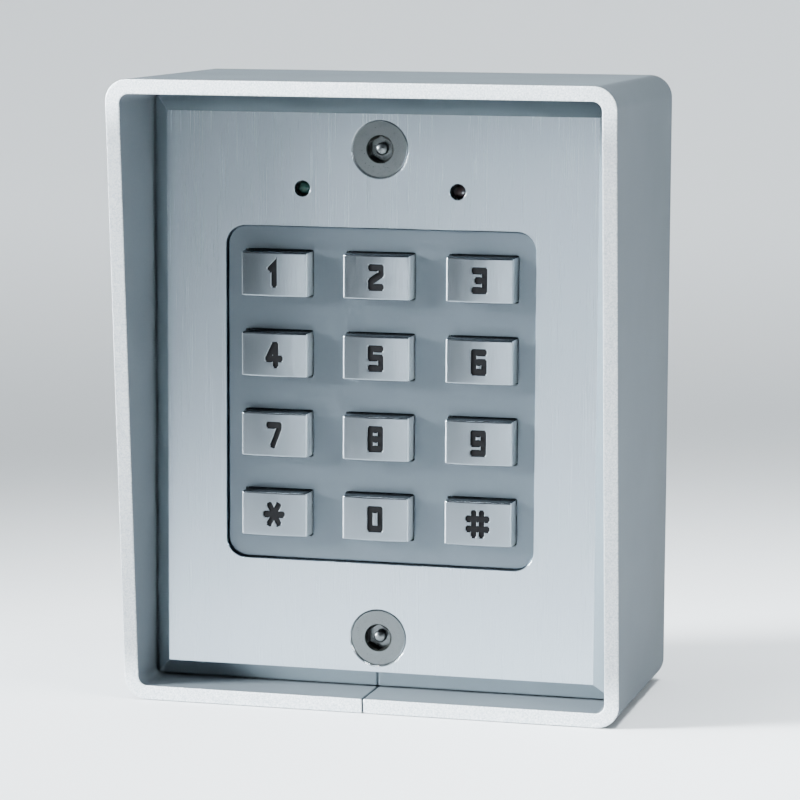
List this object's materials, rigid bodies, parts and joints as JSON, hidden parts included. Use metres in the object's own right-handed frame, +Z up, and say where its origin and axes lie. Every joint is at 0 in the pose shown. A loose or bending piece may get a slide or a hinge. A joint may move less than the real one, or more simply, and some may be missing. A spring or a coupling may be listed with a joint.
{
  "type": "access keypad",
  "caption": "Surface-mounted metal access keypad: sloping hood of bent strip, thick chamfered face plate, raised metal keys in a bright frame, two status lamps and security screws.",
  "frame": {"origin": "middle of the rear face, which lies flat on the wall", "axes": "+Y into the wall, front facing -Y, +Z up, +X to the user's right"},
  "size_m": [0.1, 0.0571, 0.1234],
  "materials": {
    "housing_band": "satin grey, pale sawn edge",
    "face_plate": "vertically brushed",
    "back_sheet": "mill finish",
    "keypad_frame": "glossy grey plate",
    "keys": "satin, black-filled engraving",
    "stainless": "turned, dull",
    "zinc_fasteners": "zinc plated",
    "rubber": "matt black",
    "silicone": "translucent grey silicone",
    "circuit_board": "green solder mask",
    "black_plastic": "moulded black",
    "blue_plastic": "moulded blue",
    "green_plastic": "moulded green",
    "lamp_green": "dark green lens, unlit",
    "lamp_red": "dark red lens, unlit",
    "capacitor_sleeve": "dark sleeve",
    "ribbon": "grey flat cable"
  },
  "bodies": {
    "housing": {"housing_band": "housing_band", "face_plate": "face_plate", "back_plate": "back_sheet", "rail_left": "back_sheet", "rail_right": "back_sheet", "pillar_top": "back_sheet", "pillar_bottom": "back_sheet", "keypad_frame": "keypad_frame", "face_screw_top": "stainless", "face_screw_bottom": "stainless", "rail_screw_1": "zinc_fasteners", "rail_screw_2": "zinc_fasteners", "rail_screw_3": "zinc_fasteners", "rail_screw_4": "zinc_fasteners", "pillar_screw_top": "zinc_fasteners", "pillar_screw_bottom": "zinc_fasteners", "keypad_screw_1": "zinc_fasteners", "keypad_screw_2": "zinc_fasteners", "keypad_screw_3": "zinc_fasteners", "keypad_screw_4": "zinc_fasteners", "standoff_1": "zinc_fasteners", "standoff_2": "zinc_fasteners", "standoff_3": "zinc_fasteners", "standoff_4": "zinc_fasteners", "board_screw_1": "zinc_fasteners", "board_screw_2": "zinc_fasteners", "board_screw_3": "zinc_fasteners", "board_screw_4": "zinc_fasteners", "face_gasket": "rubber", "cable_grommet": "rubber", "key_mat": "silicone", "main_board": "circuit_board", "keypad_board": "circuit_board", "lamp_left_spacer": "black_plastic", "lamp_right_spacer": "black_plastic", "microcontroller": "black_plastic", "buzzer": "black_plastic", "board_connector": "black_plastic", "keypad_connector": "black_plastic", "relay": "blue_plastic", "terminal_block": "green_plastic", "lamp_left": "lamp_green", "lamp_right": "lamp_red", "capacitor": "capacitor_sleeve", "ribbon_cable": "ribbon"},
    "key_1_body": {"key_1": "keys"},
    "key_2_body": {"key_2": "keys"},
    "key_3_body": {"key_3": "keys"},
    "key_4_body": {"key_4": "keys"},
    "key_5_body": {"key_5": "keys"},
    "key_6_body": {"key_6": "keys"},
    "key_7_body": {"key_7": "keys"},
    "key_8_body": {"key_8": "keys"},
    "key_9_body": {"key_9": "keys"},
    "key_star_body": {"key_star": "keys"},
    "key_0_body": {"key_0": "keys"},
    "key_hash_body": {"key_hash": "keys"}
  },
  "joints": [
    {"name": "key_1_press", "type": "slide", "parent": "housing", "child": "key_1_body", "axis": [0, 1, 0], "range_m": [0, 0.0012], "stiffness_N_per_m": 1500, "springref_m": -0.0003, "deforming": ["key_mat"]},
    {"name": "key_2_press", "type": "slide", "parent": "housing", "child": "key_2_body", "axis": [0, 1, 0], "range_m": [0, 0.0012], "stiffness_N_per_m": 1500, "springref_m": -0.0003, "deforming": ["key_mat"]},
    {"name": "key_3_press", "type": "slide", "parent": "housing", "child": "key_3_body", "axis": [0, 1, 0], "range_m": [0, 0.0012], "stiffness_N_per_m": 1500, "springref_m": -0.0003, "deforming": ["key_mat"]},
    {"name": "key_4_press", "type": "slide", "parent": "housing", "child": "key_4_body", "axis": [0, 1, 0], "range_m": [0, 0.0012], "stiffness_N_per_m": 1500, "springref_m": -0.0003, "deforming": ["key_mat"]},
    {"name": "key_5_press", "type": "slide", "parent": "housing", "child": "key_5_body", "axis": [0, 1, 0], "range_m": [0, 0.0012], "stiffness_N_per_m": 1500, "springref_m": -0.0003, "deforming": ["key_mat"]},
    {"name": "key_6_press", "type": "slide", "parent": "housing", "child": "key_6_body", "axis": [0, 1, 0], "range_m": [0, 0.0012], "stiffness_N_per_m": 1500, "springref_m": -0.0003, "deforming": ["key_mat"]},
    {"name": "key_7_press", "type": "slide", "parent": "housing", "child": "key_7_body", "axis": [0, 1, 0], "range_m": [0, 0.0012], "stiffness_N_per_m": 1500, "springref_m": -0.0003, "deforming": ["key_mat"]},
    {"name": "key_8_press", "type": "slide", "parent": "housing", "child": "key_8_body", "axis": [0, 1, 0], "range_m": [0, 0.0012], "stiffness_N_per_m": 1500, "springref_m": -0.0003, "deforming": ["key_mat"]},
    {"name": "key_9_press", "type": "slide", "parent": "housing", "child": "key_9_body", "axis": [0, 1, 0], "range_m": [0, 0.0012], "stiffness_N_per_m": 1500, "springref_m": -0.0003, "deforming": ["key_mat"]},
    {"name": "key_star_press", "type": "slide", "parent": "housing", "child": "key_star_body", "axis": [0, 1, 0], "range_m": [0, 0.0012], "stiffness_N_per_m": 1500, "springref_m": -0.0003, "deforming": ["key_mat"]},
    {"name": "key_0_press", "type": "slide", "parent": "housing", "child": "key_0_body", "axis": [0, 1, 0], "range_m": [0, 0.0012], "stiffness_N_per_m": 1500, "springref_m": -0.0003, "deforming": ["key_mat"]},
    {"name": "key_hash_press", "type": "slide", "parent": "housing", "child": "key_hash_body", "axis": [0, 1, 0], "range_m": [0, 0.0012], "stiffness_N_per_m": 1500, "springref_m": -0.0003, "deforming": ["key_mat"]}
  ]
}
